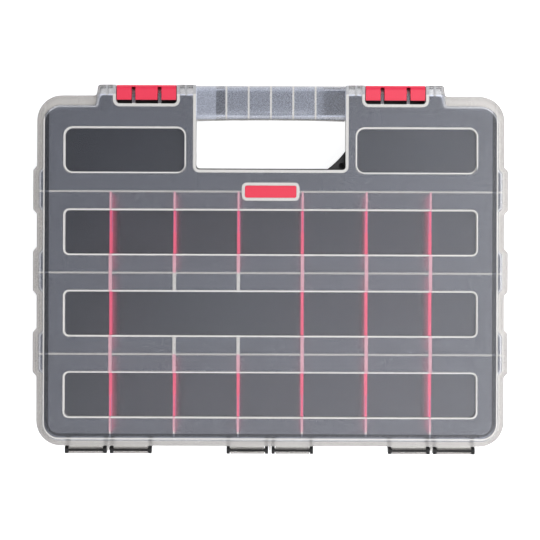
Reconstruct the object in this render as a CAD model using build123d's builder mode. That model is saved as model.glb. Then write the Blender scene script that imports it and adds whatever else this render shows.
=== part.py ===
from build123d import *
import os
from math import atan2, tan

os.makedirs("parts", exist_ok=True)

# A flat tool organizer box, in millimetres. It lies on its base, with the handle and the
# two latches at +Y and the hinges at -Y. The origin is under the middle of the box.

# Rows and columns of compartments
row_count = 3
row_pitch = 66.0
column_count = 7
column_pitch = 51.9
row_wall = 1.6
first_row_wall = 62.4
row_walls = [first_row_wall - row * row_pitch for row in range(row_count)]
row_length = row_pitch - row_wall
tray_back_inside = row_walls[-1] - row_wall / 2 - row_length
divider_places = [(n - (column_count - 2) / 2) * column_pitch for n in range(column_count - 1)]

# Heights above the surface that the box stands on
foot_recess = 0.8
foot_width = 7.2
floor_thickness = 2.0
floor_top = foot_recess + floor_thickness
row_top = 56.6
tray_top = 59.4
skirt_bottom = 49.0
flange_top = 57.0
lid_top = 62.0

# Shells and the fits between them
lid_wall = 1.6
lid_plate = 1.8
tray_wall = 1.8
lid_gap = 0.3

# Rim of the lid, seen from above
rim_half_width = 190.1
bulge_out = 3.1
bulge_length = 35.7
bulge_shift = 1.2
bulge_slope = 3.5
latch_stretch = 141.9
latch_stretch_lean = 1.6
rim_front = 148.9
shoulder_drop = 8.5
corner_radius = 20.2
step_radius = 2.5
flange_width = 5.2
shoulder_flange = 8.2
back_flange = 4.3
front_overhang = 6.9
back_room = 1.6
plateau_reach = rim_half_width + bulge_out - flange_width - lid_wall / 2
plateau_edge = 0.8

shoulder = rim_front - shoulder_drop
tray_inset = flange_width + lid_wall + lid_gap
tray_back = tray_back_inside - tray_wall
rim_back = tray_back - lid_gap - back_room - lid_wall - back_flange
tray_shoulder = shoulder - shoulder_flange - lid_wall - lid_gap
tray_front = rim_front - lid_wall - front_overhang
tray_step = latch_stretch - lid_wall - lid_gap

# Windows pressed into the lid
window_half_width = 167.1
window_height = 35.8
window_depth = 3.2
window_radius = 4.0
outer_window_radius = 6.5
front_window_inner = 69.8
window_shift = 0.1
window_middles = [y - row_pitch / 2 + window_shift for y in row_walls]
front_window_middle = 96.0

# Ribs under the lid, over the dividers and the row walls
rib_bottom = 57.0
rib_thin = 1.6
rib_thick = 2.8

# Finger opening and the handle behind it
opening_half_width = 60.7
opening_back = 80.2
opening_radius = 2.8
collar_wall = 2.4
opening_side_step = 0.4
opening_back_step = 1.4
opening_lean = 3.2
tray_opening_half_width = opening_half_width - opening_side_step
tray_opening_back = opening_back + opening_back_step
cover_inside_edge = 121.1
cover_arch = 0.8
cover_top = 60.4
cover_radius = 6.0
cover_slope = 3.0
cover_rib_pitch = 18.1
cover_rib_count = 5
cover_rib_bottom = 55.6
bar_top = 55.0
bar_floor = 26.0
bar_front_gap = 2.3
bar_floor_width = 13.0
bar_rim_width = 16.9
bar_end_slope = 14.2
bar_raised_half_width = 36.7
bar_rise_run = 9.3
bar_rise = 6.0
bar_front = rim_front - lid_wall - bar_front_gap
bar_floor_back = bar_front - tray_wall - bar_floor_width
bar_rim_back = bar_front - tray_wall - bar_rim_width

# Gusset in one corner of the finger opening, with a blind boss
gusset_long = 14.0
gusset_hollow = 0.46
gusset_top = 54.6
gusset_thickness = 3.0
boss_offset = 2.6
boss_radius = 3.6
boss_depth = 13.0
boss_hole_radius = 2.2
boss_hole_depth = 11.0

# Guide ribs that hold the dividers
divider_thickness = 1.4
slot_play = 0.2
guide_thickness = 1.3
guide_depth = 1.8
guide_top = 53.0
divider_end_gap = 0.3
divider_floor_gap = 0.2
divider_bead_width = 2.4
divider_bead_height = 2.6
divider_corner = 3.0
empty_places = [(1, 1), (1, 2)]

# Hinges: moulded pins on the tray, snap clips on the lid
hinge_places = [-131.6, 0.0, 131.6]
pin_out = 3.5
pin_height = 54.0
pin_radius = 1.5
pin_play = 0.1
knuckle_radius = 3.1
half_hinge_length = 34.0
half_hinge_gap = 2.6
hinge_web = 1.8
knuckle_width = 2.8
clip_play = 0.4
clip_mouth = 1.8
knuckle_clearance = 0.4
riser_width = 4.7
clip_web = 1.2
stem_height = 10.0
stem_drop = 1.4
pin_line = rim_back - pin_out

# Latches
latch_places = [-101.0, 101.0]
latch_width = 48.2
latch_back = 136.7
latch_front = 149.1
latch_top = 61.5
latch_bottom = 33.0
latch_wall = 1.8
latch_corner = 4.0
latch_pivot_y = 143.5
latch_pivot_z = 57.5
latch_pin_radius = 1.4
latch_pin_play = 0.1
latch_slot_place = 10.55
latch_slot_width = 3.2
lug_thickness = 2.4
lug_radius = 2.3
recess_half_width = 24.75
recess_back = 133.6
recess_wall = 2.0
recess_radius = 3.0
pocket_play = 0.3
ledge_top = 38.5
ledge_thickness = 2.3
ledge_tip = 146.7
ledge_half_width = 24.0
ledge_gap = 0.5
hook_reach = 3.0
hook_nose = 1.0
hook_width = 40.0
lip_out = 1.9
lip_nose = 1.0
lip_width = 24.0
lip_height = 5.0
latch_join = 0.5
cheek_step = (latch_slot_width + latch_wall) / 2
cheek_drop = 10.5
cheek_back = 2.9
tick_reach = 32.0

# Label plate on the lid, left bare
label_y = first_row_wall
label_length = 41.7
label_width = 9.7
label_radius = 1.6
label_thickness = 1.3
label_pocket = 0.8
label_play = 0.15
bezel_wall = 2.4
bezel_height = 0.6


# Plan of the box, set in from the rim: wider stretches beside the row walls, whose gentle
# corners stay sharp, and a longer stretch at the front for the handle and the latches.
def draw_plan(inset, back_line, shoulder_line, front_line, step_line, mode=Mode.ADD):
    side = rim_half_width - inset
    out = side + bulge_out
    shift = inset * tan(atan2(bulge_out, bulge_slope) / 2)
    near = (bulge_length - bulge_slope) / 2 - shift
    far = near + bulge_slope
    corner = corner_radius - inset
    right = [(side, back_line)]
    radii = [corner]
    for row_wall_line in reversed(row_walls):
        y = row_wall_line + bulge_shift
        right += [(side, y - far), (out, y - near), (out, y + near), (side, y + far)]
        radii += [0] * 4
    right += [(side, shoulder_line), (step_line, shoulder_line)]
    right += [(step_line - latch_stretch_lean, front_line)]
    radii += [corner, step_radius, step_radius]
    left = [(-x, y) for x, y in reversed(right)]
    with BuildLine() as outline:
        FilletPolyline(*right, *left, radius=radii + radii[::-1], close=True)
    make_face(outline.edges(), mode=mode)


def draw_rim(inset):
    draw_plan(inset, rim_back + inset, shoulder - inset, rim_front - inset, latch_stretch - inset)


def draw_plateau(inset):
    draw_plan(flange_width + inset, rim_back + back_flange + inset, shoulder - shoulder_flange - inset,
              rim_front - inset, latch_stretch - inset)


def draw_tray(inset, mode=Mode.ADD):
    draw_plan(tray_inset + inset, tray_back + inset, tray_shoulder - inset, tray_front - inset,
              tray_step - inset, mode)


# A rectangle given by its four sides
def draw_sides(left, right, back, front, mode=Mode.ADD):
    with Locations(((left + right) / 2, (back + front) / 2)):
        Rectangle(right - left, front - back, mode=mode)


# A block given by its sides and its two heights
def add_block(left, right, back, front, low, high, mode=Mode.ADD):
    with BuildSketch(Plane.XY.offset(low)) as foot:
        draw_sides(left, right, back, front)
    extrude(foot.sketch, amount=high - low, mode=mode)


# The cover of the handle, whose inner edge bows a little towards the front
def draw_cover(back, front, half_width):
    with BuildLine() as outline:
        ThreePointArc((half_width, back - cover_arch), (0, back), (-half_width, back - cover_arch))
        Polyline((-half_width, back - cover_arch), (-half_width, front), (half_width, front),
                 (half_width, back - cover_arch))
    make_face(outline.edges())


# A bay that is open at the front and has its two back corners rounded
def draw_bay(middle, half_width, back, front, radius):
    left = middle - half_width
    right = middle + half_width
    with BuildLine() as outline:
        FilletPolyline((left, front), (left, back), (right, back), (right, front),
                       radius=[0, radius, radius, 0], close=True)
    make_face(outline.edges())


def add_bay(middle, half_width, back, front, radius, low, high, mode=Mode.ADD):
    with BuildSketch(Plane.XY.offset(low)) as foot:
        draw_bay(middle, half_width, back, front, radius)
    extrude(foot.sketch, amount=high - low, mode=mode)


# The tray's finger opening, which is wider at the floor than at the top
def add_opening(skin, front, mode=Mode.ADD):
    ends = []
    for z, lean in ((0, opening_lean), (tray_top, 0)):
        with BuildSketch(Plane.XY.offset(z)) as end:
            draw_bay(0, tray_opening_half_width + lean + skin, tray_opening_back - lean - skin,
                     front, opening_radius + skin)
        ends.append(end.sketch.face())
    loft(ends, ruled=True, mode=mode)


# A round hole or bar of the hinges and latches, along X
def add_round(middle, y, z, radius, length, mode=Mode.ADD):
    with BuildSketch(Plane.YZ.offset(middle)) as disc:
        with Locations((y, z)):
            Circle(radius)
    extrude(disc.sketch, amount=length / 2, both=True, mode=mode)


# A window of the lid, with one radius at its front corners and one at its back corners
def draw_window(left, right, middle, grow, front_radius, back_radius):
    back = middle - window_height / 2 - grow
    front = middle + window_height / 2 + grow
    corners = [(left - grow, back), (right + grow, back), (right + grow, front), (left - grow, front)]
    radii = [back_radius, back_radius, front_radius, front_radius]
    with BuildLine() as outline:
        FilletPolyline(*corners, radius=[radius + grow for radius in radii], close=True)
    make_face(outline.edges())


def draw_windows(grow):
    for left in (-window_half_width, front_window_inner):
        right = left + window_half_width - front_window_inner
        draw_window(left, right, front_window_middle, grow, outer_window_radius, window_radius)
    for middle in window_middles:
        back_radius = outer_window_radius if middle == window_middles[-1] else window_radius
        draw_window(-window_half_width, window_half_width, middle, grow, window_radius, back_radius)


# Middles of the half hinges, and of the knuckles at both ends of each
def half_hinge_places():
    reach = (half_hinge_gap + half_hinge_length) / 2
    return [hinge + side * reach for hinge in hinge_places for side in (-1, 1)]


def knuckle_places():
    reach = (half_hinge_length - knuckle_width) / 2
    return [place + end * reach for place in half_hinge_places() for end in (-1, 1)]


# The tray: one black moulding with the walls between its rows, the guide ribs for the
# dividers, the channel of the handle, the catches of the latches and the hinge pins.
opening_side = tray_opening_half_width + tray_wall
opening_wall_back = tray_opening_back - tray_wall
pocket_half_width = recess_half_width + recess_wall + pocket_play
pocket_back = recess_back - recess_wall - pocket_play
ledge_bottom = ledge_top - ledge_thickness
plan_reach = rim_half_width + bulge_out

with BuildPart() as base_tray:
    with BuildSketch():
        draw_tray(0)
    extrude(amount=tray_top)
    chamfer(base_tray.edges().group_by(Axis.Z)[0], length=foot_recess)

    # A shallow recess leaves a foot all round
    foot_reach = opening_side + opening_lean + foot_width
    with BuildSketch():
        draw_tray(foot_width)
        draw_sides(-foot_reach, foot_reach, opening_wall_back - opening_lean - foot_width,
                   rim_front, mode=Mode.SUBTRACT)
    extrude(amount=foot_recess, mode=Mode.SUBTRACT)

    # Compartments with pairs of guide ribs, below the shelves behind the latches and above
    # them, then the plain stretch above the guide ribs
    slot_width = divider_thickness + 2 * slot_play
    guide_step = (slot_width + guide_thickness) / 2
    guide_ends = [y - (row_wall + side * (row_length - guide_depth) + row_length) / 2
                  for y in row_walls for side in (-1, 1)]
    for low, high, pockets, guides in ((floor_top, ledge_bottom, False, True),
                                       (ledge_bottom, guide_top, True, True),
                                       (guide_top, tray_top, True, False)):
        with BuildSketch(Plane.XY.offset(low)):
            draw_tray(tray_wall)
            draw_sides(-opening_side, opening_side, opening_wall_back, rim_front, mode=Mode.SUBTRACT)
            for y in row_walls:
                draw_sides(-plan_reach, plan_reach, y - row_wall / 2, y + row_wall / 2, mode=Mode.SUBTRACT)
            for side in (-1, 1):
                middle = side * (opening_side - tray_wall / 2)
                draw_sides(middle - tray_wall / 2, middle + tray_wall / 2, first_row_wall, tray_opening_back,
                           mode=Mode.SUBTRACT)
            if pockets:
                for x in latch_places:
                    reach = pocket_half_width + tray_wall
                    draw_sides(x - reach, x + reach, pocket_back - tray_wall, rim_front, mode=Mode.SUBTRACT)
            if guides:
                with Locations(*[(x + side * guide_step, end) for x in divider_places
                                 for side in (-1, 1) for end in guide_ends]):
                    Rectangle(guide_thickness, guide_depth, mode=Mode.SUBTRACT)
        extrude(amount=high - low, mode=Mode.SUBTRACT)

    # Walls round the finger opening
    add_opening(tray_wall, tray_front)

    # The walls inside the rim are lower than the rim, and so is the front beside the handle
    collar_reach = opening_half_width + collar_wall + lid_gap
    with BuildSketch(Plane.XY.offset(row_top)):
        draw_tray(tray_wall)
        draw_sides(-collar_reach, collar_reach, opening_back, rim_front)
    extrude(amount=tray_top - row_top, mode=Mode.SUBTRACT)

    # Pockets behind the latches, open at the front, and the ledges that the hooks catch
    for x in latch_places:
        add_block(x - pocket_half_width, x + pocket_half_width, pocket_back, rim_front,
                  ledge_top, lid_top, mode=Mode.SUBTRACT)
        add_block(x - ledge_half_width, x + ledge_half_width, pocket_back, ledge_tip,
                  ledge_bottom, ledge_top)

    # Finger opening, right through the tray
    add_opening(0, rim_front, mode=Mode.SUBTRACT)

    # Channel of the handle: a trough with leaning ends and a leaning grip side
    for skin, mode in ((tray_wall, Mode.ADD), (0, Mode.SUBTRACT)):
        foot = bar_floor - skin
        for z, half_width, back in (
            (foot, tray_opening_half_width - bar_end_slope + skin, bar_floor_back - skin),
            (bar_top, tray_opening_half_width + skin, bar_rim_back - skin),
        ):
            with BuildSketch(Plane.XY.offset(z)):
                draw_sides(-half_width, half_width, back, bar_front - tray_wall + skin)
        loft(mode=mode)

    # The middle of the trough's floor is raised, and its underside follows
    for skin, mode in ((0, Mode.ADD), (tray_wall, Mode.SUBTRACT)):
        level = bar_floor - skin
        foot = level - tray_wall
        run = bar_raised_half_width + bar_rise_run - skin * bar_rise / bar_rise_run
        flat = run - bar_rise_run
        with BuildSketch(Plane.XZ.offset(-bar_front)):
            with BuildLine():
                Polyline((-run, foot), (-run, level), (-flat, level + bar_rise),
                         (flat, level + bar_rise), (run, level), (run, foot), close=True)
            make_face()
        extrude(amount=bar_front - bar_floor_back + skin, mode=mode)

    # Gusset and blind boss in the back right corner of the finger opening
    corner_x = tray_opening_half_width
    corner_y = tray_opening_back
    with BuildSketch(Plane.XY.offset(gusset_top)):
        with BuildLine():
            tip = (corner_x - gusset_long, corner_y)
            top = (corner_x, corner_y + gusset_long)
            dip = gusset_long * gusset_hollow
            ThreePointArc(tip, (corner_x - dip, corner_y + dip), top)
            Polyline(top, (corner_x + tray_wall / 2, corner_y + gusset_long),
                     (corner_x + tray_wall / 2, corner_y - tray_wall / 2),
                     (corner_x - gusset_long, corner_y - tray_wall / 2), tip)
        make_face()
    extrude(amount=-gusset_thickness)
    boss_place = (corner_x - boss_offset, corner_y + boss_offset)
    with BuildSketch(Plane.XY.offset(gusset_top)):
        with Locations(boss_place):
            Circle(boss_radius)
    extrude(amount=-boss_depth)
    with BuildSketch(Plane.XY.offset(gusset_top)):
        with Locations(boss_place):
            Circle(boss_hole_radius)
    extrude(amount=-boss_hole_depth, mode=Mode.SUBTRACT)

    # Hinge knuckles: each rises outside the lid's skirt and ends round the pin
    riser = pin_line + riser_width / 2
    stem_top = skirt_bottom - stem_drop
    for x in knuckle_places():
        with BuildSketch(Plane.YZ.offset(x)):
            with BuildLine():
                Polyline((pin_line - riser_width / 2, pin_height), (pin_line - riser_width / 2, stem_top),
                         (tray_back, stem_top - stem_height), (tray_back, stem_top),
                         (riser, stem_top), (riser, pin_height), close=True)
            make_face()
            with Locations((pin_line, pin_height)):
                Circle(knuckle_radius)
        extrude(amount=knuckle_width / 2, both=True)
    for x in half_hinge_places():
        add_round(x, pin_line, pin_height, pin_radius, half_hinge_length - knuckle_width)

base_tray.part.label = "base_tray"
export_step(base_tray.part, "parts/base_tray.step")


# The lid: one moulding of milky translucent plastic, with pressed-in windows, ribs
# underneath, a cover over the handle's channel, recesses for the latches and snap clips.
with BuildPart() as cover_hollow:
    cover_inside = cover_inside_edge + lid_wall
    with BuildSketch(Plane.XY.offset(skirt_bottom)):
        draw_cover(cover_inside, rim_front - lid_wall, opening_half_width)
    extrude(amount=cover_top - lid_plate - skirt_bottom)
    chamfer(cover_hollow.edges().group_by(Axis.Z)[-1].filter_by(Axis.Y, reverse=True), cover_slope)
    with Locations(*[((n - (cover_rib_count - 1) / 2) * cover_rib_pitch,
                      (cover_inside_edge + rim_front) / 2,
                      (cover_rib_bottom + lid_top) / 2) for n in range(cover_rib_count)]):
        Box(rib_thin, rim_front - opening_back, lid_top - cover_rib_bottom, mode=Mode.SUBTRACT)

with BuildPart() as cover:
    with BuildSketch(Plane.XY.offset(skirt_bottom)):
        draw_cover(cover_inside_edge, rim_front, opening_half_width + collar_wall / 2)
    extrude(amount=cover_top - skirt_bottom)
    fillet(cover.edges().group_by(Axis.Z)[-1].filter_by(Axis.Y, reverse=True), cover_radius)
    add(cover_hollow.part, mode=Mode.SUBTRACT)
    # Above the side walls of the finger opening the cover's ends are cut short
    for side in (-1, 1):
        end = side * (opening_half_width + collar_wall / 4)
        add_block(end - collar_wall / 2, end + collar_wall / 2, opening_back, rim_front,
                  skirt_bottom, flange_top, mode=Mode.SUBTRACT)

with BuildPart() as lid:
    # Flange with its skirt, and the plateau standing on it
    with BuildSketch(Plane.XY.offset(skirt_bottom)):
        draw_rim(0)
    extrude(amount=flange_top - skirt_bottom)
    with BuildSketch(Plane.XY.offset(flange_top)):
        draw_plateau(0)
    extrude(amount=lid_top - flange_top)
    chamfer(lid.edges().group_by(Axis.Z)[-1], plateau_edge)
    with BuildSketch(Plane.XY.offset(skirt_bottom)):
        draw_rim(lid_wall)
    extrude(amount=flange_top - lid_plate - skirt_bottom, mode=Mode.SUBTRACT)
    with BuildSketch(Plane.XY.offset(flange_top - lid_plate)):
        draw_plateau(lid_wall)
    extrude(amount=lid_top - flange_top, mode=Mode.SUBTRACT)

    # Windows: a wall round each, a sunk panel and the hollow above it
    with BuildSketch(Plane.XY.offset(rib_bottom)):
        draw_windows(lid_wall)
    extrude(amount=lid_top - rib_bottom)
    with BuildSketch(Plane.XY.offset(lid_top - window_depth)):
        draw_windows(0)
    extrude(amount=window_depth, mode=Mode.SUBTRACT)

    # Ribs under the frosted bands: over the row walls, and over the dividers
    for y in row_walls:
        add_block(-plateau_reach, plateau_reach, y - rib_thin / 2, y + rib_thin / 2,
                  rib_bottom, lid_top - lid_plate / 2)
    bands = [(window_middles[0] + window_height / 2, first_row_wall, rib_thin)]
    for front, back in zip(window_middles, window_middles[1:]):
        bands.append((back + window_height / 2, front - window_height / 2, rib_thick))
    bands.append((rim_back + back_flange + lid_wall / 2, window_middles[-1] - window_height / 2, rib_thin))
    for back, front, width in bands:
        with Locations(*[(x, (back + front) / 2, (rib_bottom + lid_top - lid_plate / 2) / 2)
                         for x in divider_places]):
            Box(width, front - back, lid_top - lid_plate / 2 - rib_bottom)
    # They are cut back where the rim of the tray stands under them
    with BuildSketch(Plane.XY.offset(rib_bottom)):
        draw_tray(-lid_gap)
        draw_tray(tray_wall + lid_gap, mode=Mode.SUBTRACT)
    extrude(amount=tray_top + lid_gap - rib_bottom, mode=Mode.SUBTRACT)

    # Finger opening with a collar, and the cover of the handle
    add_bay(0, opening_half_width + collar_wall, opening_back - collar_wall, rim_front - lid_wall / 2,
            opening_radius + collar_wall, flange_top, lid_top - lid_plate / 2)
    add_bay(0, opening_half_width, opening_back, rim_front + lid_wall, opening_radius,
            skirt_bottom, lid_top, mode=Mode.SUBTRACT)
    add(cover.part)

    # Recesses for the latches, walled on three sides, with two lugs each for the pivot
    for x in latch_places:
        add_bay(x, recess_half_width + recess_wall, recess_back - recess_wall, rim_front - lid_wall / 2,
                recess_radius + recess_wall, skirt_bottom, lid_top - lid_plate / 2)
        add_bay(x, recess_half_width, recess_back, rim_front + lid_wall, recess_radius,
                skirt_bottom, lid_top, mode=Mode.SUBTRACT)
        for side in (-1, 1):
            with BuildSketch(Plane.YZ.offset(x + side * latch_slot_place)):
                draw_sides(recess_back - recess_wall / 2, latch_pivot_y,
                           latch_pivot_z - lug_radius, latch_pivot_z + lug_radius)
                with Locations((latch_pivot_y, latch_pivot_z)):
                    Circle(lug_radius)
                    Circle(latch_pin_radius + latch_pin_play, mode=Mode.SUBTRACT)
            extrude(amount=lug_thickness / 2, both=True)
        # Small ribs under the overhang on both sides of the recess
        for side in (-1, 1):
            place = x + side * tick_reach
            add_block(place - rib_thin / 2, place + rib_thin / 2, tray_front + lid_gap,
                      rim_front - lid_wall / 2, rib_bottom, lid_top - lid_plate / 2)

    # Snap clips of the hinges, open upwards, and room for the tray's knuckles between them
    for x in knuckle_places():
        add_round(x, pin_line, pin_height, knuckle_radius + knuckle_clearance,
                  knuckle_width + 2 * clip_play, mode=Mode.SUBTRACT)
    clip_length = half_hinge_length - 2 * knuckle_width - 2 * clip_play
    for x in half_hinge_places():
        with BuildSketch(Plane.YZ.offset(x)):
            with Locations((pin_line, pin_height)):
                Circle(knuckle_radius)
            draw_sides(pin_line, rim_back + lid_wall / 2, pin_height - knuckle_radius, pin_height + clip_web)
            with Locations((pin_line, pin_height)):
                Circle(pin_radius + pin_play, mode=Mode.SUBTRACT)
            draw_sides(pin_line - clip_mouth / 2, pin_line + clip_mouth / 2,
                       pin_height, pin_height + 2 * knuckle_radius, mode=Mode.SUBTRACT)
        extrude(amount=clip_length / 2, both=True)
    for x in hinge_places:
        add_block(x - hinge_web / 2, x + hinge_web / 2, pin_line, rim_back + lid_wall / 2,
                  pin_height - pin_radius, flange_top)

    # Bezel and pocket of the label plate
    bezel = 2 * (bezel_wall + label_play)
    with BuildSketch(Plane.XY.offset(lid_top - lid_plate)):
        with Locations((0, label_y)):
            RectangleRounded(label_length + bezel, label_width + bezel, label_radius + bezel_wall)
    extrude(amount=lid_plate + bezel_height)
    with BuildSketch(Plane.XY.offset(lid_top - label_pocket)):
        with Locations((0, label_y)):
            RectangleRounded(label_length + 2 * label_play, label_width + 2 * label_play,
                             label_radius + label_play)
    extrude(amount=label_pocket + bezel_height, mode=Mode.SUBTRACT)

lid.part.label = "lid"
export_step(lid.part, "parts/lid.step")

# The label plate fills the bezel and is bare
with BuildPart() as label_plate:
    with BuildSketch(Plane.XY.offset(lid_top - label_pocket)):
        with Locations((0, label_y)):
            RectangleRounded(label_length, label_width, label_radius)
    extrude(amount=label_thickness)
label_plate.part.label = "label_plate"
export_step(label_plate.part, "parts/label_plate.step")

# Latches: a cover and a lever in one, cheeks round the two slots, a pin through the lid's
# lugs, a hook that catches the tray's ledge and a lip for the finger.
for name, middle in zip(("left", "right"), latch_places):
    inside = latch_front - latch_wall
    joined = inside + latch_join
    hook_top = ledge_bottom - ledge_gap
    with BuildPart() as latch:
        with BuildSketch(Plane.YZ.offset(middle)):
            with BuildLine():
                FilletPolyline((latch_back, latch_top), (latch_front, latch_top),
                               (latch_front, latch_bottom),
                               (inside, latch_bottom), (inside, latch_top - latch_wall),
                               (latch_back, latch_top - latch_wall),
                               radius=[0, latch_corner, 0, 0, latch_corner - latch_wall, 0],
                               close=True)
            make_face()
        extrude(amount=latch_width / 2, both=True)

        # Cheeks on both sides of each slot, and at both ends
        cheek_steps = [latch_slot_place - cheek_step, latch_slot_place + cheek_step,
                       (latch_width - latch_wall) / 2]
        for x in [middle + side * step for step in cheek_steps for side in (-1, 1)]:
            with BuildSketch(Plane.YZ.offset(x)):
                with BuildLine():
                    Polyline((latch_back + latch_join, latch_top - latch_join),
                             (joined, latch_top - latch_wall),
                             (joined, latch_pivot_z - cheek_drop),
                             (latch_pivot_y - cheek_back, latch_pivot_z - cheek_back), close=True)
                make_face()
            extrude(amount=latch_wall / 2, both=True)

        # Slots for the lugs, with the pin across them
        for side in (-1, 1):
            x = middle + side * latch_slot_place
            add_block(x - latch_slot_width / 2, x + latch_slot_width / 2, latch_back - latch_wall, inside,
                      latch_pivot_z - cheek_drop, lid_top, mode=Mode.SUBTRACT)
            add_round(x, latch_pivot_y, latch_pivot_z, latch_pin_radius, latch_slot_width + latch_wall)

        # Hook under the ledge, and the lip
        with BuildSketch(Plane.YZ.offset(middle)):
            with BuildLine():
                Polyline((joined, hook_top), (inside - hook_reach, hook_top),
                         (inside - hook_reach, hook_top - hook_nose), (joined, latch_bottom), close=True)
            make_face()
        extrude(amount=hook_width / 2, both=True)
        with BuildSketch(Plane.YZ.offset(middle)):
            with BuildLine():
                Polyline((latch_front - latch_join, latch_bottom + lip_height),
                         (latch_front, latch_bottom + lip_height),
                         (latch_front + lip_out, latch_bottom + lip_nose),
                         (latch_front + lip_out, latch_bottom),
                         (latch_front - latch_join, latch_bottom), close=True)
            make_face()
        extrude(amount=lip_width / 2, both=True)
    latch.part.label = f"latch_{name}"
    export_step(latch.part, f"parts/{latch.part.label}.step")

# Dividers: flat red plates that drop between the guide ribs, with a bead along the top
divider_bottom = floor_top + divider_floor_gap
for row, name in enumerate(("front", "middle", "back")):
    line = row_walls[row] - row_wall / 2 - row_length / 2
    reach = row_length / 2 - divider_end_gap
    for column, x in enumerate(divider_places):
        if (row, column) in empty_places:
            continue
        with BuildPart() as divider:
            with BuildSketch(Plane.YZ.offset(x)):
                with BuildLine():
                    Polyline((line - reach, row_top), (line - reach, divider_bottom + divider_corner),
                             (line - reach + divider_corner, divider_bottom),
                             (line + reach - divider_corner, divider_bottom),
                             (line + reach, divider_bottom + divider_corner),
                             (line + reach, row_top), close=True)
                make_face()
            extrude(amount=divider_thickness / 2, both=True)
            bead = reach - guide_depth - divider_end_gap
            add_block(x - divider_bead_width / 2, x + divider_bead_width / 2, line - bead, line + bead,
                      row_top - divider_bead_height, row_top)
        divider.part.label = f"divider_{name}_{column + 1}"
        export_step(divider.part, f"parts/{divider.part.label}.step")
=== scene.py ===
import math

import bpy
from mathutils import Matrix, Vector


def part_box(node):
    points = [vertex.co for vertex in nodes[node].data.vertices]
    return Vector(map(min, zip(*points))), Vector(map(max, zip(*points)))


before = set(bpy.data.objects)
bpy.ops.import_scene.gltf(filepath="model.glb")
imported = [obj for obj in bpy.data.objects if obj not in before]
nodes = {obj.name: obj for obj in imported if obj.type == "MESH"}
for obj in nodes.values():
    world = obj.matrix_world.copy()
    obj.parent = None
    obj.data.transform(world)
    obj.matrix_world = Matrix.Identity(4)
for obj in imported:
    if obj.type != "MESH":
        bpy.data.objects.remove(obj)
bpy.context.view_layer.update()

mm = 0.001


# sRGB hex to the linear colour that shaders use
def hexColour(code):
    parts = [int(code[i:i + 2], 16) / 255 for i in (1, 3, 5)]
    return (*[c / 12.92 if c <= 0.04045 else ((c + 0.055) / 1.055) ** 2.4 for c in parts], 1.0)


# Adds a node. Values without a name go to its open inputs in order, a capitalised name is an
# input, and any other name is a setting. Gives its output, or the node if it has several.
def addNode(tree, kind, *values, **named):
    node = tree.nodes.new("ShaderNode" + kind)
    for name, value in named.items():
        if not name[0].isupper():
            setattr(node, name, value)
    fed = list(zip([socket for socket in node.inputs if socket.enabled], values))
    fed += [(node.inputs[name.replace("_", " ")], value) for name, value in named.items() if name[0].isupper()]
    for socket, value in fed:
        if isinstance(value, bpy.types.NodeSocket):
            tree.links.new(value, socket)
        else:
            socket.default_value = value
    outputs = [socket for socket in node.outputs if socket.enabled]
    return outputs[0] if len(outputs) == 1 else node


def startMaterial(name):
    material = bpy.data.materials.new(name)
    material.use_nodes = True
    tree = material.node_tree
    tree.nodes.clear()
    return material, tree


def finishMaterial(tree, **look):
    addNode(tree, "OutputMaterial", addNode(tree, "BsdfPrincipled", **look))


def giveMaterial(names, material):
    for name in names:
        piece = nodes[name]
        piece.data.materials.clear()
        piece.data.materials.append(material)
        for face in piece.data.polygons:
            face.material_index = 0


def addObject(name, data, place=(0, 0, 0), turn=(0, 0, 0)):
    item = bpy.data.objects.new(name, data)
    bpy.context.scene.collection.objects.link(item)
    item.location = place
    item.rotation_euler = turn
    return item


# One operation over several values, such as their product or the smallest of them
def combine(tree, operation, *values):
    result = values[0]
    for value in values[1:]:
        result = addNode(tree, "Math", result, value, operation=operation)
    return result


# Masks go from 0 to 1. A graded value is low where the mask is 0, and high where it is 1.
def graded(tree, mask, low, high):
    return addNode(tree, "Math", mask, high - low, low, operation="MULTIPLY_ADD")


def opposite(tree, mask):
    return addNode(tree, "Math", 1.0, mask, operation="SUBTRACT")


def below(tree, distance, limit, soft):
    return addNode(tree, "MapRange", distance, limit - soft, limit + soft, 1.0, 0.0,
                   interpolation_type="SMOOTHSTEP")


def above(tree, distance, limit, soft):
    return opposite(tree, below(tree, distance, limit, soft))


def between(tree, distance, low, high, soft):
    return combine(tree, "SUBTRACT", below(tree, distance, high, soft), below(tree, distance, low, soft))


# Distance of a coordinate from a line across it
def distanceFrom(tree, coordinate, line):
    return addNode(tree, "Math", combine(tree, "SUBTRACT", coordinate, line), operation="ABSOLUTE")


# Signed distance to a rounded rectangle in plan, which is negative inside it
def planDistance(tree, plan, middle, halfSize, radius):
    offset = addNode(tree, "VectorMath", plan, (*middle, 0), operation="SUBTRACT")
    fold = addNode(tree, "VectorMath", offset, operation="ABSOLUTE")
    corner = (halfSize[0] - radius, halfSize[1] - radius, 0)
    past = addNode(tree, "VectorMath", fold, corner, operation="SUBTRACT")
    outside = addNode(tree, "VectorMath", past, (0, 0, 0), operation="MAXIMUM")
    return combine(tree, "SUBTRACT", addNode(tree, "VectorMath", outside, operation="LENGTH"), radius)


# The frame's own places: lines of the dividers and row walls, the latches, and the lid's top
def middleOf(name):
    low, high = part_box(name)
    return (low + high) / 2


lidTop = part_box("lid")[1].z
labelLow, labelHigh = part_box("label_plate")
latchMiddle = abs(middleOf("latch_right").x)
dividerNames = sorted(name for name in nodes if name.startswith("divider_"))
dividerLines = sorted({round(middleOf(name).x, 5) for name in dividerNames})
rowMiddles = sorted({round(middleOf(name).y, 5) for name in dividerNames})
columnPitch = dividerLines[1] - dividerLines[0]
rowPitch = rowMiddles[1] - rowMiddles[0]

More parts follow.
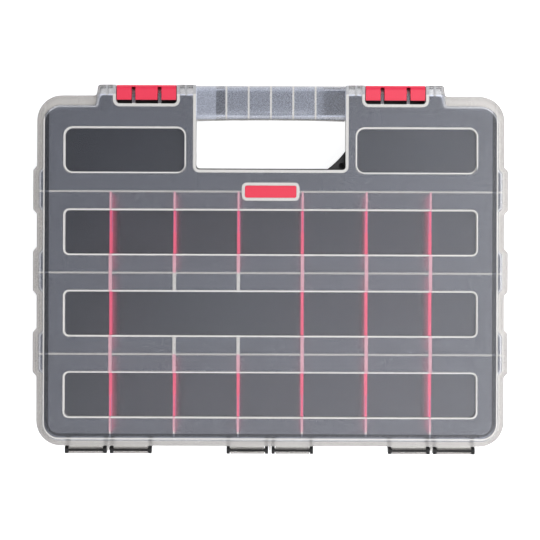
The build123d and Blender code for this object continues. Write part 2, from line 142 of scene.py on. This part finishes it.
# Lid: natural polypropylene, injection moulded. Haze is how milky each part of it looks: the
# thin windows are nearly clear, the bands a little milky, and walls and ribs gather the milk.
lidLook = {
    # The pink over the dividers is a painted glow of the red plates below
    "plastic": "#D4D9E6", "thick": "#ECEAE5", "rim": "#D2CFCB", "redGlowTint": "#F4BFCC",
    # The strip colour is painted shade along the inside of the plateau's outline
    "coverTint": "#DAE0EE", "stripShade": "#757983", "frontTint": "#C3C4C6",
    "haze": {"window": 0.03, "band": 0.12, "windowWall": 0.95, "rowRib": 0.48, "dividerRib": 0.62,
             "frame": 0.8, "coverRib": 0.75, "smallRib": 0.75, "upright": 0.55, "outline": 0.7,
             "rim": 0.45, "mark": 0.2},
    # Besides the plain middle milk, the cover's edge, left end and shade shares are painted light and shade
    "coverHaze": {"middle": 0.25, "edge": 0.34, "litLeftEnd": 0.12, "shadeShare": 0.5, "rightEndShadeShare": 0.04},
    "overPin": 0.25,  # share of the milk left where a clip is thin over its hinge pin
    "streak": 30 * mm, "streakSpread": 0.16,  # slow change in the milk, from the melt's flow
    "fine": 1.4 * mm, "fineSpread": 0.12,
    "roughBand": 0.24, "roughWindow": 0.16, "roughSpread": 0.06,
    "grain": 0.35 * mm, "grainDepth": 0.012 * mm, "grainStrength": 0.5, "coverGrain": 0.1,
    "ior": 1.49, "soft": 0.3 * mm,
}
# Where the lid's windows, walls and ribs stand, as the moulding has them
lidPlan = {
    "windowHalfWidth": 167.1 * mm, "windowHeight": 35.8 * mm, "windowRadius": 4.0 * mm,
    "frontWindowInner": 69.8 * mm, "frontWindowMiddle": 96.0 * mm, "frontWindowRadius": 6.5 * mm,
    "wall": 1.6 * mm, "windowWall": 1.0 * mm, "thickRib": 2.8 * mm, "frameWall": 2.4 * mm,
    "rowWall": 62.4 * mm, "ribEnd": -138.6 * mm, "tintEnd": -132.3 * mm,
    "plateauHalfWidth": 184.1 * mm, "plateauBack": -138.4 * mm, "plateauRadius": 13.0 * mm,
    "plateauStrip": 4.3 * mm, "plateauLine": 0.9 * mm, "frontStrip": 141.5 * mm, "rimTop": 57.3 * mm,
    "openingHalfWidth": 60.7 * mm, "openingBack": 80.2 * mm, "openingRadius": 2.8 * mm,
    "recessHalfWidth": 24.75 * mm, "recessBack": 133.6 * mm, "recessRadius": 3.0 * mm,
    "labelPlay": 0.15 * mm, "labelRadius": 1.75 * mm,
    "pastFront": 200 * mm,  # an outline that runs off the lid's front ends here
    "coverBack": 121.1 * mm, "coverFront": 151.0 * mm, "backCurve": 4.0 * mm, "frontCurve": 9.0 * mm,
    "coverRibPitch": 18.1 * mm, "coverRibReach": 45.0 * mm,
    # Where the cover's painted shade lies: over the right end, and in a patch inside the left end
    "rightEndShade": (38.0 * mm, 50.0 * mm), "coverShade": (-44.6 * mm, -36.2 * mm),
    "smallRibReach": 32.0 * mm, "smallRibBack": 140.7 * mm,
    "pinLine": -147.9 * mm, "pinHalf": 1.7 * mm,
    "markRadius": 5.7 * mm, "markLine": 0.45 * mm,
    # Middles of the ejector pins' marks on one half of the lid, in millimetres
    "marks": [(122.0, 2.7), (34.0, -10.3), (176.0, -10.5), (176.0, 54.8), (69.5, 54.8),
              (122.0, -62.7), (33.5, -77.0), (177.0, -77.2), (69.0, -129.2), (173.5, -127.4)],
}


# Windows: three long ones over the rows, and one on each side of the handle
def windowEdge(tree, flat, folded):
    plan = lidPlan
    halfHeight = plan["windowHeight"] / 2
    sideHalf = (plan["windowHalfWidth"] - plan["frontWindowInner"]) / 2
    sideMiddle = (plan["windowHalfWidth"] + plan["frontWindowInner"]) / 2
    edges = [planDistance(tree, flat, (0, middle), (plan["windowHalfWidth"], halfHeight), plan["windowRadius"])
             for middle in rowMiddles]
    edges.append(planDistance(tree, folded, (sideMiddle, plan["frontWindowMiddle"]), (sideHalf, halfHeight),
                              plan["frontWindowRadius"]))
    return combine(tree, "MINIMUM", *edges)


# Ribs over the walls between the rows, none past the front and back rows
def rowRibs(tree, y):
    plan, soft = lidPlan, lidLook["soft"]
    step = combine(tree, "PINGPONG", combine(tree, "SUBTRACT", y, plan["rowWall"]), rowPitch / 2)
    return combine(tree, "MULTIPLY", below(tree, step, plan["wall"] / 2, soft),
                   below(tree, addNode(tree, "Math", y, operation="ABSOLUTE"), rowPitch * 1.5, soft))


# Ribs over the dividers, thicker round the middle row, none past the outermost dividers
def dividerRibs(tree, x, y, across):
    plan, soft = lidPlan, lidLook["soft"]
    fold = combine(tree, "PINGPONG", x, columnPitch / 2)
    toLine = combine(tree, "SUBTRACT", columnPitch / 2, fold)
    inner = below(tree, distanceFrom(tree, y, rowMiddles[1]), rowPitch, soft)
    halfRib = graded(tree, inner, plan["wall"] / 2, plan["thickRib"] / 2)
    return combine(tree, "MULTIPLY", below(tree, combine(tree, "SUBTRACT", toLine, halfRib), 0.0, soft),
                   below(tree, y, plan["rowWall"], soft), below(tree, across, columnPitch * 3, soft),
                   above(tree, y, plan["ribEnd"], soft))


# The part of those ribs that has a red divider right below it, where the divider's red light showing through is
# painted in as a pink tint
def ribsOverRed(tree, x, y, ribs):
    middleRow = [round(middleOf(name).x, 5) for name in dividerNames
                 if abs(middleOf(name).y - rowMiddles[1]) < rowPitch / 2]
    empty = [line for line in dividerLines if line not in middleRow]
    onRed = combine(tree, "MULTIPLY", ribs, above(tree, y, lidPlan["tintEnd"], mm))
    if not empty:
        return onRed
    toEmpty = combine(tree, "MINIMUM", *[distanceFrom(tree, x, line) for line in empty])
    onEmpty = combine(tree, "MULTIPLY", below(tree, toEmpty, columnPitch / 2, mm),
                      below(tree, distanceFrom(tree, y, rowMiddles[1]), rowPitch / 2, mm))
    return combine(tree, "MULTIPLY", onRed, opposite(tree, onEmpty))


# Frames round the finger opening, the latch recesses and the label
def frames(tree, flat, folded):
    plan, soft = lidPlan, lidLook["soft"]
    past = plan["pastFront"]
    label = (labelLow + labelHigh) / 2
    labelHalf = (labelHigh - labelLow) / 2
    edges = [planDistance(tree, flat, (0, plan["openingBack"] + past), (plan["openingHalfWidth"], past),
                          plan["openingRadius"]),
             planDistance(tree, folded, (latchMiddle, plan["recessBack"] + past),
                          (plan["recessHalfWidth"], past), plan["recessRadius"]),
             planDistance(tree, flat, (label.x, label.y),
                          (labelHalf.x + plan["labelPlay"], labelHalf.y + plan["labelPlay"]),
                          plan["labelRadius"])]
    return combine(tree, "MAXIMUM", *[between(tree, edge, -2 * soft, plan["frameWall"], soft) for edge in edges])


# The handle's cover, its ribs and its milk. The handle's raised middle stands close under it. Painted light and
# shade
# # in the milk: whiter towards the front and back edges as painted shading of an arched cover, a painted lit left
# end,
# # a painted shade patch just inside that end, and painted shade over the right end.
def handleCover(tree, x, y, across):
    plan, haze, soft = lidPlan, lidLook["coverHaze"], lidLook["soft"]
    onCover = combine(tree, "MULTIPLY", below(tree, across, plan["openingHalfWidth"], soft),
                      above(tree, y, plan["coverBack"] - 2 * soft, soft))
    fold = combine(tree, "PINGPONG", x, plan["coverRibPitch"] / 2)
    rib = combine(tree, "MULTIPLY", below(tree, fold, plan["wall"] / 2, soft),
                  below(tree, across, plan["coverRibReach"], soft), onCover)
    # Painted shade over the right end, a painted shade patch at the left, and painted shading of an arch along the
    # edges
    fade = addNode(tree, "MapRange", x, *plan["rightEndShade"], 1.0, haze["rightEndShadeShare"], interpolation_type="SMOOTHSTEP")
    shade = graded(tree, between(tree, x, *plan["coverShade"], 2 * soft), 1.0, 1 - haze["shadeShare"])
    fromFront = addNode(tree, "MapRange", y, plan["coverFront"] - plan["frontCurve"], plan["coverFront"])
    fromBack = addNode(tree, "MapRange", y, plan["coverBack"], plan["coverBack"] + plan["backCurve"], 1.0, 0.0)
    archShading = combine(tree, "MULTIPLY", combine(tree, "MAXIMUM", fromFront, fromBack), haze["edge"])
    litLeftEnd = combine(tree, "MULTIPLY", below(tree, x, plan["coverShade"][0], soft), haze["litLeftEnd"])
    milk = combine(tree, "ADD", archShading, litLeftEnd, haze["middle"])
    return onCover, rib, combine(tree, "MULTIPLY", onCover, fade, shade, milk)


# Small ribs beside the latches
def smallRibs(tree, y, across):
    plan, soft = lidPlan, lidLook["soft"]
    toRib = distanceFrom(tree, distanceFrom(tree, across, latchMiddle), plan["smallRibReach"])
    return combine(tree, "MULTIPLY", below(tree, toRib, plan["wall"] / 2, soft),
                   above(tree, y, plan["smallRibBack"], soft))


# The raised plateau's outline, but for its front: a bright line with a strip inside it that is painted grey as
# shade
def plateauOutline(tree, flat):
    plan, soft = lidPlan, lidLook["soft"]
    half = (plan["pastFront"] - plan["plateauBack"]) / 2
    edge = planDistance(tree, flat, (0, half + plan["plateauBack"]), (plan["plateauHalfWidth"], half),
                        plan["plateauRadius"])
    return (between(tree, edge, -plan["plateauLine"], soft, soft / 2),
            between(tree, edge, -plan["plateauStrip"], -plan["plateauLine"], soft / 2))


# Faint rings of the mould's ejector pins
def ejectorMarks(tree, folded):
    plan = lidPlan
    middles = [(markX * mm, markY * mm, 0) for markX, markY in plan["marks"]]
    toMiddles = [addNode(tree, "VectorMath", folded, middle, operation="DISTANCE") for middle in middles]
    toMark = combine(tree, "MINIMUM", *toMiddles)
    return between(tree, toMark, plan["markRadius"] - plan["markLine"] / 2,
                   plan["markRadius"] + plan["markLine"] / 2, lidLook["soft"] / 2)


# Every place on the lid that looks different, each a mask
def lidPlaces(tree, place, normal):
    plan, soft = lidPlan, lidLook["soft"]
    x, y, z = addNode(tree, "SeparateXYZ", place).outputs
    across = addNode(tree, "Math", x, operation="ABSOLUTE")
    flat = addNode(tree, "CombineXYZ", x, y)
    folded = addNode(tree, "CombineXYZ", across, y)
    edge = windowEdge(tree, flat, folded)
    window = below(tree, edge, -soft, soft)
    band = opposite(tree, window)
    dividerRib = dividerRibs(tree, x, y, across)
    onCover, coverRib, coverMilkAndShading = handleCover(tree, x, y, across)
    outline, strip = plateauOutline(tree, flat)
    facing = addNode(tree, "Math", addNode(tree, "SeparateXYZ", normal).outputs["Z"], operation="ABSOLUTE")
    inBand = {"rowRib": rowRibs(tree, y), "dividerRib": dividerRib, "mark": ejectorMarks(tree, folded),
              "rim": below(tree, z, plan["rimTop"], soft)}
    return {
        "window": window, "band": band,
        "windowWall": between(tree, edge, -soft, plan["windowWall"], soft),
        "frame": frames(tree, flat, folded),
        "cover": onCover, "coverRib": coverRib, "coverMilkAndShading": coverMilkAndShading,
        "smallRib": smallRibs(tree, y, across),
        "upright": opposite(tree, facing),
        "outline": outline, "strip": strip,
        "front": combine(tree, "MULTIPLY", above(tree, y, plan["frontStrip"], soft), opposite(tree, onCover)),
        "overRed": ribsOverRed(tree, x, y, dividerRib),
        "pin": below(tree, distanceFrom(tree, y, plan["pinLine"]), plan["pinHalf"], soft),
        **{name: combine(tree, "MULTIPLY", mask, band) for name, mask in inBand.items()},
    }


# How milky the plastic is, from nearly clear to opaque
def lidMilk(tree, place, at):
    look, haze = lidLook, lidLook["haze"]
    whiter = [combine(tree, "MULTIPLY", at[name], haze[name]) for name in haze if name not in ("window", "band")]
    milk = combine(tree, "MAXIMUM", graded(tree, at["window"], haze["band"], haze["window"]),
                   at["coverMilkAndShading"], *whiter)
    for size, spread in ((look["streak"], look["streakSpread"]), (look["fine"], look["fineSpread"])):
        cloud = addNode(tree, "TexNoise", Vector=place, Scale=1 / size, Detail=2.0).outputs["Fac"]
        milk = combine(tree, "MULTIPLY", milk, graded(tree, cloud, 1 - spread / 2, 1 + spread / 2))
    return combine(tree, "MULTIPLY", milk, graded(tree, at["pin"], 1.0, look["overPin"]))


# Thin plastic is bluish, and thick milk a neutral white
def lidColour(tree, milk, at):
    look, haze = lidLook, lidLook["haze"]
    thick = addNode(tree, "MapRange", milk, haze["band"], haze["rowRib"])
    panes = combine(tree, "MULTIPLY", at["cover"], opposite(tree, at["coverRib"]))
    colour = hexColour(look["plastic"])
    # The strip inside the plateau's outline gets a painted shade colour
    for mask, name in ((thick, "thick"), (panes, "coverTint"), (at["strip"], "stripShade"),
                       # The ribs over red dividers get a painted pink glow
                       (at["front"], "frontTint"), (at["overRed"], "redGlowTint"), (at["rim"], "rim")):
        colour = addNode(tree, "Mix", mask, colour, hexColour(look[name]), data_type="RGBA")
    return colour


# Moulded satin on the bands and a polish in the windows: the grain is drawn coarser than the
# real one, which is too fine to show
def naturalPolypropylene():
    look = lidLook
    material, tree = startMaterial("naturalPolypropyleneMoulded")
    coordinates = addNode(tree, "TexCoord").outputs
    place = coordinates["Object"]
    at = lidPlaces(tree, place, coordinates["Normal"])
    milk = lidMilk(tree, place, at)
    grain = addNode(tree, "TexNoise", Vector=place, Scale=1 / look["grain"], Detail=3.0).outputs["Fac"]
    smooth = graded(tree, at["window"], look["roughBand"], look["roughWindow"])
    rough = combine(tree, "ADD", combine(tree, "MULTIPLY", grain, look["roughSpread"]), smooth)
    strength = combine(tree, "MULTIPLY", at["band"],
                       graded(tree, at["cover"], look["grainStrength"], look["coverGrain"]))
    bump = addNode(tree, "Bump", Strength=strength, Distance=look["grainDepth"], Height=grain)
    finishMaterial(tree, Base_Color=lidColour(tree, milk, at), Roughness=rough, IOR=look["ior"],
                   Transmission_Weight=opposite(tree, milk), Normal=bump)
    return material


# Tray: black polypropylene, injection moulded, satin with a fine grain
trayLook = {"plastic": "#131314", "rough": 0.46, "roughSpread": 0.14,
            "grain": 0.6 * mm, "grainDepth": 0.02 * mm, "grainStrength": 0.5}


def blackPolypropylene():
    look = trayLook
    material, tree = startMaterial("blackPolypropyleneGrained")
    place = addNode(tree, "TexCoord").outputs["Object"]
    grain = addNode(tree, "TexNoise", Vector=place, Scale=1 / look["grain"], Detail=3.0).outputs["Fac"]
    bump = addNode(tree, "Bump", Strength=look["grainStrength"], Distance=look["grainDepth"], Height=grain)
    finishMaterial(tree, Base_Color=hexColour(look["plastic"]), Normal=bump,
                   Roughness=graded(tree, grain, look["rough"], look["rough"] + look["roughSpread"]))
    return material


# Latches, dividers and label: red polypropylene, injection moulded and glossy. The dividers are
# # thin and let light through: a painted glow stands for what enters at the top edge and runs down inside the
# plate, fading.
redLook = {
    # For latches and dividers, "plastic" is the lighter colour above the edge height, a painted highlight on the
    # top edges, and "deep" the red below it
    "latch": {"plastic": "#F03050", "deep": "#E02A48", "rough": 0.34, "glow": 0.0},
    "divider": {"plastic": "#E9779A", "deep": "#CE2B55", "rough": 0.38, "glow": 1.05},
    "label": {"plastic": "#EE2E4C", "deep": "#EE2E4C", "rough": 0.3, "glow": 0.0},
    "edge": 55.8 * mm, "edgeSoft": 0.4 * mm, "edgeShare": 0.45,
    "fadeLow": 14 * mm, "fadeHigh": 56.4 * mm, "fadePower": 1.2,
    "peel": 0.25 * mm, "peelDepth": 0.01 * mm, "peelStrength": 0.4, "roughSpread": 0.08,
}


def redPolypropylene(kind):
    look, shared = redLook[kind], redLook
    material, tree = startMaterial("redPolypropylene" + kind.capitalize())
    place = addNode(tree, "TexCoord").outputs["Object"]
    height = addNode(tree, "SeparateXYZ", place).outputs["Z"]
    # Painted highlight: the top edges take the lighter colour and the sides below the deeper red
    edge = above(tree, height, shared["edge"], shared["edgeSoft"])
    colour = addNode(tree, "Mix", edge, hexColour(look["deep"]), hexColour(look["plastic"]), data_type="RGBA")
    grain = addNode(tree, "TexNoise", Vector=place, Scale=1 / shared["peel"], Detail=2.0).outputs["Fac"]
    bump = addNode(tree, "Bump", Strength=shared["peelStrength"], Distance=shared["peelDepth"], Height=grain)
    rough = graded(tree, grain, look["rough"], look["rough"] + shared["roughSpread"])
    # Painted glow: an emission, strongest near the top, stands in for light carried down inside the plate
    light = {}
    if look["glow"]:
        fade = addNode(tree, "MapRange", height, shared["fadeLow"], shared["fadeHigh"])
        lit = combine(tree, "POWER", fade, shared["fadePower"])
        strength = combine(tree, "MULTIPLY", lit, graded(tree, edge, 1.0, shared["edgeShare"]), look["glow"])
        light = {"Emission_Color": colour, "Emission_Strength": strength}
    finishMaterial(tree, Base_Color=colour, Roughness=rough, Normal=bump, **light)
    return material


giveMaterial(["lid"], naturalPolypropylene())
giveMaterial(["base_tray"], blackPolypropylene())
giveMaterial(["latch_left", "latch_right"], redPolypropylene("latch"))
giveMaterial(dividerNames, redPolypropylene("divider"))
giveMaterial(["label_plate"], redPolypropylene("label"))
print("materials: lid, tray, latches, dividers, label")

# Camera straight above the box, with a long lens. Its height is in metres above the lid.
cameraLook = {"height": 1.35, "lens": 111.1, "sensor": 36.0, "x": -0.34 * mm, "y": -1.05 * mm, "turn": 0.2}
camera = bpy.data.cameras.new("camera")
camera.lens = cameraLook["lens"]
camera.sensor_width = cameraLook["sensor"]
bpy.context.scene.camera = addObject("camera", camera,
                                     (cameraLook["x"], cameraLook["y"], lidTop + cameraLook["height"]),
                                     (0, 0, math.radians(cameraLook["turn"])))

# Pale floor that glows like a light table, a little brighter to the back right. The slope is the
# change in glow per metre.
floorLook = {"paint": "#F4F4F4", "rough": 0.9, "halfSize": 4.0,
             "glow": 1.0, "glowSlope": (1.4, -1.2), "glowRange": (0.75, 1.3)}


def paleFloor():
    look, half = floorLook, floorLook["halfSize"]
    corners = [(-half, -half, 0), (half, -half, 0), (half, half, 0), (-half, half, 0)]
    mesh = bpy.data.meshes.new("floor")
    mesh.from_pydata(corners, [], [(0, 1, 2, 3)])
    material, tree = startMaterial("paleFloor")
    x, y, _ = addNode(tree, "SeparateXYZ", addNode(tree, "TexCoord").outputs["Object"]).outputs
    glow = addNode(tree, "Math", x, look["glowSlope"][0], look["glow"], operation="MULTIPLY_ADD")
    glow = addNode(tree, "Math", y, look["glowSlope"][1], glow, operation="MULTIPLY_ADD")
    glow = addNode(tree, "Clamp", glow, *look["glowRange"])
    paint = hexColour(look["paint"])
    finishMaterial(tree, Base_Color=paint, Roughness=look["rough"], Emission_Color=paint, Emission_Strength=glow)
    mesh.materials.append(material)
    return addObject("floor", mesh)


paleFloor()

# An even white surround, with one soft panel overhead that grows brighter to the back right.
# Reach, softness and slope go by how far a direction leans from straight up.
panelLook = {"sky": 0.45, "skyColour": "#FAFAFF", "middle": 1.6, "slope": (8.5, -9.0),
             "lowest": 0.1, "highest": 3.8, "reach": 0.45, "soft": 0.2}


def whiteSurround():
    look = panelLook
    world = bpy.data.worlds.new("studio")
    world.use_nodes = True
    tree = world.node_tree
    backdrop = tree.nodes["Background"]
    backdrop.inputs["Color"].default_value = hexColour(look["skyColour"])
    x, y, z = addNode(tree, "SeparateXYZ", addNode(tree, "TexCoord").outputs["Generated"]).outputs
    leanX = combine(tree, "DIVIDE", x, z)
    leanY = combine(tree, "DIVIDE", y, z)
    panel = addNode(tree, "Math", leanX, look["slope"][0], look["middle"], operation="MULTIPLY_ADD")
    panel = addNode(tree, "Math", leanY, look["slope"][1], panel, operation="MULTIPLY_ADD")
    panel = addNode(tree, "Clamp", panel, look["lowest"], look["highest"])
    lean = addNode(tree, "VectorMath", addNode(tree, "CombineXYZ", leanX, leanY), operation="LENGTH")
    onPanel = below(tree, lean, look["reach"], look["soft"])
    change = combine(tree, "MULTIPLY", combine(tree, "SUBTRACT", panel, look["sky"]), onPanel)
    tree.links.new(combine(tree, "ADD", change, look["sky"]), backdrop.inputs["Strength"])
    return world


bpy.context.scene.world = whiteSurround()

# One large soft light from the right
keyLook = {"place": (1.3, 0.1, 1.9), "size": 1.6, "power": 26.0}
key = bpy.data.lights.new("key", "AREA")
key.size = keyLook["size"]
key.energy = keyLook["power"]
addObject("key", key, keyLook["place"], (-Vector(keyLook["place"])).to_track_quat("-Z", "Y").to_euler())
bpy.context.scene.view_settings.view_transform = "Standard"
print("studio: camera, floor, lights")
